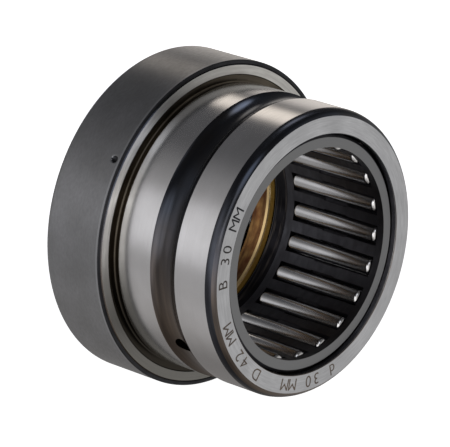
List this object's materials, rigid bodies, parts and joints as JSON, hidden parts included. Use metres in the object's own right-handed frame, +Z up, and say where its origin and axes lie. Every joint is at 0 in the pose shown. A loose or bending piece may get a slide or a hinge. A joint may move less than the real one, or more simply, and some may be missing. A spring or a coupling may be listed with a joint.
{
  "type": "needle roller bearing",
  "caption": "Combined needle roller and thrust ball bearing for a shaft, with a collared outer ring, a lubrication groove and a sheet cover over the thrust end.",
  "frame": {"origin": "middle of the bearing on its axis, halfway between the front face and the shaft washer's rear face", "axes": "+Y along the axis from the needle end to the thrust end, +Z up, +X to the right seen from the front; the lubrication hole lies at 146 degrees below +X on the -X side"},
  "size_m": [0.0482, 0.03, 0.0482],
  "materials": {
    "ring_steel": "ground steel seat and end face, dark glossy as-hardened groove and rounding",
    "cover_sheet": "dark grey phosphated sheet steel, matte",
    "washer_steel": "ground steel",
    "cage_steel": "blackened steel, satin, with a grey machined end face",
    "cage_brass": "machined brass, lightly oiled",
    "needle_steel": "polished hardened steel",
    "ball_steel": "polished hardened steel"
  },
  "bodies": {
    "outer_ring_set": {"outer_ring": "ring_steel", "cover": "cover_sheet"},
    "shaft_washer": {"shaft_washer": "washer_steel"},
    "needle_cage": {"needle_cage": "cage_steel"},
    "thrust_cage": {"thrust_cage": "cage_brass"},
    "needle_roller_01": {"needle_roller_01": "needle_steel"},
    "needle_roller_02": {"needle_roller_02": "needle_steel"},
    "needle_roller_03": {"needle_roller_03": "needle_steel"},
    "needle_roller_04": {"needle_roller_04": "needle_steel"},
    "needle_roller_05": {"needle_roller_05": "needle_steel"},
    "needle_roller_06": {"needle_roller_06": "needle_steel"},
    "needle_roller_07": {"needle_roller_07": "needle_steel"},
    "needle_roller_08": {"needle_roller_08": "needle_steel"},
    "needle_roller_09": {"needle_roller_09": "needle_steel"},
    "needle_roller_10": {"needle_roller_10": "needle_steel"},
    "needle_roller_11": {"needle_roller_11": "needle_steel"},
    "needle_roller_12": {"needle_roller_12": "needle_steel"},
    "needle_roller_13": {"needle_roller_13": "needle_steel"},
    "needle_roller_14": {"needle_roller_14": "needle_steel"},
    "needle_roller_15": {"needle_roller_15": "needle_steel"},
    "needle_roller_16": {"needle_roller_16": "needle_steel"},
    "needle_roller_17": {"needle_roller_17": "needle_steel"},
    "needle_roller_18": {"needle_roller_18": "needle_steel"},
    "needle_roller_19": {"needle_roller_19": "needle_steel"},
    "needle_roller_20": {"needle_roller_20": "needle_steel"},
    "needle_roller_21": {"needle_roller_21": "needle_steel"},
    "thrust_ball_01": {"thrust_ball_01": "ball_steel"},
    "thrust_ball_02": {"thrust_ball_02": "ball_steel"},
    "thrust_ball_03": {"thrust_ball_03": "ball_steel"},
    "thrust_ball_04": {"thrust_ball_04": "ball_steel"},
    "thrust_ball_05": {"thrust_ball_05": "ball_steel"},
    "thrust_ball_06": {"thrust_ball_06": "ball_steel"},
    "thrust_ball_07": {"thrust_ball_07": "ball_steel"},
    "thrust_ball_08": {"thrust_ball_08": "ball_steel"},
    "thrust_ball_09": {"thrust_ball_09": "ball_steel"},
    "thrust_ball_10": {"thrust_ball_10": "ball_steel"},
    "thrust_ball_11": {"thrust_ball_11": "ball_steel"},
    "thrust_ball_12": {"thrust_ball_12": "ball_steel"},
    "thrust_ball_13": {"thrust_ball_13": "ball_steel"},
    "thrust_ball_14": {"thrust_ball_14": "ball_steel"},
    "thrust_ball_15": {"thrust_ball_15": "ball_steel"},
    "thrust_ball_16": {"thrust_ball_16": "ball_steel"},
    "thrust_ball_17": {"thrust_ball_17": "ball_steel"},
    "thrust_ball_18": {"thrust_ball_18": "ball_steel"}
  },
  "joints": [
    {"name": "needle_cage_spin", "type": "hinge", "parent": "outer_ring_set", "child": "needle_cage", "pos_m": [0, -0.00504, 0], "axis": [0, 1, 0], "continuous": true},
    {"name": "shaft_washer_spin", "type": "hinge", "parent": "outer_ring_set", "child": "shaft_washer", "pos_m": [0, 0.0134, 0], "axis": [0, 1, 0], "continuous": true},
    {"name": "thrust_cage_spin", "type": "hinge", "parent": "outer_ring_set", "child": "thrust_cage", "pos_m": [0, 0.00955, 0], "axis": [0, 1, 0], "continuous": true},
    {"name": "needle_roller_01_spin", "type": "hinge", "parent": "needle_cage", "child": "needle_roller_01", "pos_m": [0.01615, -0.00512, -0.00175], "axis": [0, 1, 0], "continuous": true},
    {"name": "needle_roller_02_spin", "type": "hinge", "parent": "needle_cage", "child": "needle_roller_02", "pos_m": [0.01595, -0.00512, 0.00308], "axis": [0, 1, 0], "continuous": true},
    {"name": "needle_roller_03_spin", "type": "hinge", "parent": "needle_cage", "child": "needle_roller_03", "pos_m": [0.01434, -0.00512, 0.00765], "axis": [0, 1, 0], "continuous": true},
    {"name": "needle_roller_04_spin", "type": "hinge", "parent": "needle_cage", "child": "needle_roller_04", "pos_m": [0.01144, -0.00512, 0.01154], "axis": [0, 1, 0], "continuous": true},
    {"name": "needle_roller_05_spin", "type": "hinge", "parent": "needle_cage", "child": "needle_roller_05", "pos_m": [0.00754, -0.00512, 0.0144], "axis": [0, 1, 0], "continuous": true},
    {"name": "needle_roller_06_spin", "type": "hinge", "parent": "needle_cage", "child": "needle_roller_06", "pos_m": [0.00296, -0.00512, 0.01598], "axis": [0, 1, 0], "continuous": true},
    {"name": "needle_roller_07_spin", "type": "hinge", "parent": "needle_cage", "child": "needle_roller_07", "pos_m": [-0.00188, -0.00512, 0.01614], "axis": [0, 1, 0], "continuous": true},
    {"name": "needle_roller_08_spin", "type": "hinge", "parent": "needle_cage", "child": "needle_roller_08", "pos_m": [-0.00656, -0.00512, 0.01487], "axis": [0, 1, 0], "continuous": true},
    {"name": "needle_roller_09_spin", "type": "hinge", "parent": "needle_cage", "child": "needle_roller_09", "pos_m": [-0.01065, -0.00512, 0.01227], "axis": [0, 1, 0], "continuous": true},
    {"name": "needle_roller_10_spin", "type": "hinge", "parent": "needle_cage", "child": "needle_roller_10", "pos_m": [-0.01379, -0.00512, 0.00859], "axis": [0, 1, 0], "continuous": true},
    {"name": "needle_roller_11_spin", "type": "hinge", "parent": "needle_cage", "child": "needle_roller_11", "pos_m": [-0.01571, -0.00512, 0.00414], "axis": [0, 1, 0], "continuous": true},
    {"name": "needle_roller_12_spin", "type": "hinge", "parent": "needle_cage", "child": "needle_roller_12", "pos_m": [-0.01624, -0.00512, -0.00067], "axis": [0, 1, 0], "continuous": true},
    {"name": "needle_roller_13_spin", "type": "hinge", "parent": "needle_cage", "child": "needle_roller_13", "pos_m": [-0.01532, -0.00512, -0.00543], "axis": [0, 1, 0], "continuous": true},
    {"name": "needle_roller_14_spin", "type": "hinge", "parent": "needle_cage", "child": "needle_roller_14", "pos_m": [-0.01304, -0.00512, -0.0097], "axis": [0, 1, 0], "continuous": true},
    {"name": "needle_roller_15_spin", "type": "hinge", "parent": "needle_cage", "child": "needle_roller_15", "pos_m": [-0.0096, -0.00512, -0.01311], "axis": [0, 1, 0], "continuous": true},
    {"name": "needle_roller_16_spin", "type": "hinge", "parent": "needle_cage", "child": "needle_roller_16", "pos_m": [-0.00531, -0.00512, -0.01536], "axis": [0, 1, 0], "continuous": true},
    {"name": "needle_roller_17_spin", "type": "hinge", "parent": "needle_cage", "child": "needle_roller_17", "pos_m": [-0.00054, -0.00512, -0.01624], "axis": [0, 1, 0], "continuous": true},
    {"name": "needle_roller_18_spin", "type": "hinge", "parent": "needle_cage", "child": "needle_roller_18", "pos_m": [0.00427, -0.00512, -0.01568], "axis": [0, 1, 0], "continuous": true},
    {"name": "needle_roller_19_spin", "type": "hinge", "parent": "needle_cage", "child": "needle_roller_19", "pos_m": [0.0087, -0.00512, -0.01372], "axis": [0, 1, 0], "continuous": true},
    {"name": "needle_roller_20_spin", "type": "hinge", "parent": "needle_cage", "child": "needle_roller_20", "pos_m": [0.01236, -0.00512, -0.01055], "axis": [0, 1, 0], "continuous": true},
    {"name": "needle_roller_21_spin", "type": "hinge", "parent": "needle_cage", "child": "needle_roller_21", "pos_m": [0.01492, -0.00512, -0.00644], "axis": [0, 1, 0], "continuous": true},
    {"name": "thrust_ball_01_spin", "type": "hinge", "parent": "thrust_cage", "child": "thrust_ball_01", "pos_m": [0.0194, 0.00955, 0], "axis": [1, 0, 0], "continuous": true},
    {"name": "thrust_ball_02_spin", "type": "hinge", "parent": "thrust_cage", "child": "thrust_ball_02", "pos_m": [0.01823, 0.00955, 0.00664], "axis": [0.9397, 0, 0.342], "continuous": true},
    {"name": "thrust_ball_03_spin", "type": "hinge", "parent": "thrust_cage", "child": "thrust_ball_03", "pos_m": [0.01486, 0.00955, 0.01247], "axis": [0.766, 0, 0.6428], "continuous": true},
    {"name": "thrust_ball_04_spin", "type": "hinge", "parent": "thrust_cage", "child": "thrust_ball_04", "pos_m": [0.0097, 0.00955, 0.0168], "axis": [0.5, 0, 0.866], "continuous": true},
    {"name": "thrust_ball_05_spin", "type": "hinge", "parent": "thrust_cage", "child": "thrust_ball_05", "pos_m": [0.00337, 0.00955, 0.01911], "axis": [0.1736, 0, 0.9848], "continuous": true},
    {"name": "thrust_ball_06_spin", "type": "hinge", "parent": "thrust_cage", "child": "thrust_ball_06", "pos_m": [-0.00337, 0.00955, 0.01911], "axis": [-0.1736, 0, 0.9848], "continuous": true},
    {"name": "thrust_ball_07_spin", "type": "hinge", "parent": "thrust_cage", "child": "thrust_ball_07", "pos_m": [-0.0097, 0.00955, 0.0168], "axis": [-0.5, 0, 0.866], "continuous": true},
    {"name": "thrust_ball_08_spin", "type": "hinge", "parent": "thrust_cage", "child": "thrust_ball_08", "pos_m": [-0.01486, 0.00955, 0.01247], "axis": [-0.766, 0, 0.6428], "continuous": true},
    {"name": "thrust_ball_09_spin", "type": "hinge", "parent": "thrust_cage", "child": "thrust_ball_09", "pos_m": [-0.01823, 0.00955, 0.00664], "axis": [-0.9397, 0, 0.342], "continuous": true},
    {"name": "thrust_ball_10_spin", "type": "hinge", "parent": "thrust_cage", "child": "thrust_ball_10", "pos_m": [-0.0194, 0.00955, 0], "axis": [-1, 0, 0], "continuous": true},
    {"name": "thrust_ball_11_spin", "type": "hinge", "parent": "thrust_cage", "child": "thrust_ball_11", "pos_m": [-0.01823, 0.00955, -0.00664], "axis": [-0.9397, 0, -0.342], "continuous": true},
    {"name": "thrust_ball_12_spin", "type": "hinge", "parent": "thrust_cage", "child": "thrust_ball_12", "pos_m": [-0.01486, 0.00955, -0.01247], "axis": [-0.766, 0, -0.6428], "continuous": true},
    {"name": "thrust_ball_13_spin", "type": "hinge", "parent": "thrust_cage", "child": "thrust_ball_13", "pos_m": [-0.0097, 0.00955, -0.0168], "axis": [-0.5, 0, -0.866], "continuous": true},
    {"name": "thrust_ball_14_spin", "type": "hinge", "parent": "thrust_cage", "child": "thrust_ball_14", "pos_m": [-0.00337, 0.00955, -0.01911], "axis": [-0.1736, 0, -0.9848], "continuous": true},
    {"name": "thrust_ball_15_spin", "type": "hinge", "parent": "thrust_cage", "child": "thrust_ball_15", "pos_m": [0.00337, 0.00955, -0.01911], "axis": [0.1736, 0, -0.9848], "continuous": true},
    {"name": "thrust_ball_16_spin", "type": "hinge", "parent": "thrust_cage", "child": "thrust_ball_16", "pos_m": [0.0097, 0.00955, -0.0168], "axis": [0.5, 0, -0.866], "continuous": true},
    {"name": "thrust_ball_17_spin", "type": "hinge", "parent": "thrust_cage", "child": "thrust_ball_17", "pos_m": [0.01486, 0.00955, -0.01247], "axis": [0.766, 0, -0.6428], "continuous": true},
    {"name": "thrust_ball_18_spin", "type": "hinge", "parent": "thrust_cage", "child": "thrust_ball_18", "pos_m": [0.01823, 0.00955, -0.00664], "axis": [0.9397, 0, -0.342], "continuous": true}
  ],
  "couplings": [
    {"joint": "thrust_cage_spin", "follows": "shaft_washer_spin", "ratio": 0.5},
    {"joint": "needle_roller_01_spin", "follows": "needle_cage_spin", "ratio": -14},
    {"joint": "needle_roller_02_spin", "follows": "needle_cage_spin", "ratio": -14},
    {"joint": "needle_roller_03_spin", "follows": "needle_cage_spin", "ratio": -14},
    {"joint": "needle_roller_04_spin", "follows": "needle_cage_spin", "ratio": -14},
    {"joint": "needle_roller_05_spin", "follows": "needle_cage_spin", "ratio": -14},
    {"joint": "needle_roller_06_spin", "follows": "needle_cage_spin", "ratio": -14},
    {"joint": "needle_roller_07_spin", "follows": "needle_cage_spin", "ratio": -14},
    {"joint": "needle_roller_08_spin", "follows": "needle_cage_spin", "ratio": -14},
    {"joint": "needle_roller_09_spin", "follows": "needle_cage_spin", "ratio": -14},
    {"joint": "needle_roller_10_spin", "follows": "needle_cage_spin", "ratio": -14},
    {"joint": "needle_roller_11_spin", "follows": "needle_cage_spin", "ratio": -14},
    {"joint": "needle_roller_12_spin", "follows": "needle_cage_spin", "ratio": -14},
    {"joint": "needle_roller_13_spin", "follows": "needle_cage_spin", "ratio": -14},
    {"joint": "needle_roller_14_spin", "follows": "needle_cage_spin", "ratio": -14},
    {"joint": "needle_roller_15_spin", "follows": "needle_cage_spin", "ratio": -14},
    {"joint": "needle_roller_16_spin", "follows": "needle_cage_spin", "ratio": -14},
    {"joint": "needle_roller_17_spin", "follows": "needle_cage_spin", "ratio": -14},
    {"joint": "needle_roller_18_spin", "follows": "needle_cage_spin", "ratio": -14},
    {"joint": "needle_roller_19_spin", "follows": "needle_cage_spin", "ratio": -14},
    {"joint": "needle_roller_20_spin", "follows": "needle_cage_spin", "ratio": -14},
    {"joint": "needle_roller_21_spin", "follows": "needle_cage_spin", "ratio": -14},
    {"joint": "thrust_ball_01_spin", "follows": "shaft_washer_spin", "ratio": -3.2589},
    {"joint": "thrust_ball_02_spin", "follows": "shaft_washer_spin", "ratio": -3.2589},
    {"joint": "thrust_ball_03_spin", "follows": "shaft_washer_spin", "ratio": -3.2589},
    {"joint": "thrust_ball_04_spin", "follows": "shaft_washer_spin", "ratio": -3.2589},
    {"joint": "thrust_ball_05_spin", "follows": "shaft_washer_spin", "ratio": -3.2589},
    {"joint": "thrust_ball_06_spin", "follows": "shaft_washer_spin", "ratio": -3.2589},
    {"joint": "thrust_ball_07_spin", "follows": "shaft_washer_spin", "ratio": -3.2589},
    {"joint": "thrust_ball_08_spin", "follows": "shaft_washer_spin", "ratio": -3.2589},
    {"joint": "thrust_ball_09_spin", "follows": "shaft_washer_spin", "ratio": -3.2589},
    {"joint": "thrust_ball_10_spin", "follows": "shaft_washer_spin", "ratio": -3.2589},
    {"joint": "thrust_ball_11_spin", "follows": "shaft_washer_spin", "ratio": -3.2589},
    {"joint": "thrust_ball_12_spin", "follows": "shaft_washer_spin", "ratio": -3.2589},
    {"joint": "thrust_ball_13_spin", "follows": "shaft_washer_spin", "ratio": -3.2589},
    {"joint": "thrust_ball_14_spin", "follows": "shaft_washer_spin", "ratio": -3.2589},
    {"joint": "thrust_ball_15_spin", "follows": "shaft_washer_spin", "ratio": -3.2589},
    {"joint": "thrust_ball_16_spin", "follows": "shaft_washer_spin", "ratio": -3.2589},
    {"joint": "thrust_ball_17_spin", "follows": "shaft_washer_spin", "ratio": -3.2589},
    {"joint": "thrust_ball_18_spin", "follows": "shaft_washer_spin", "ratio": -3.2589}
  ]
}
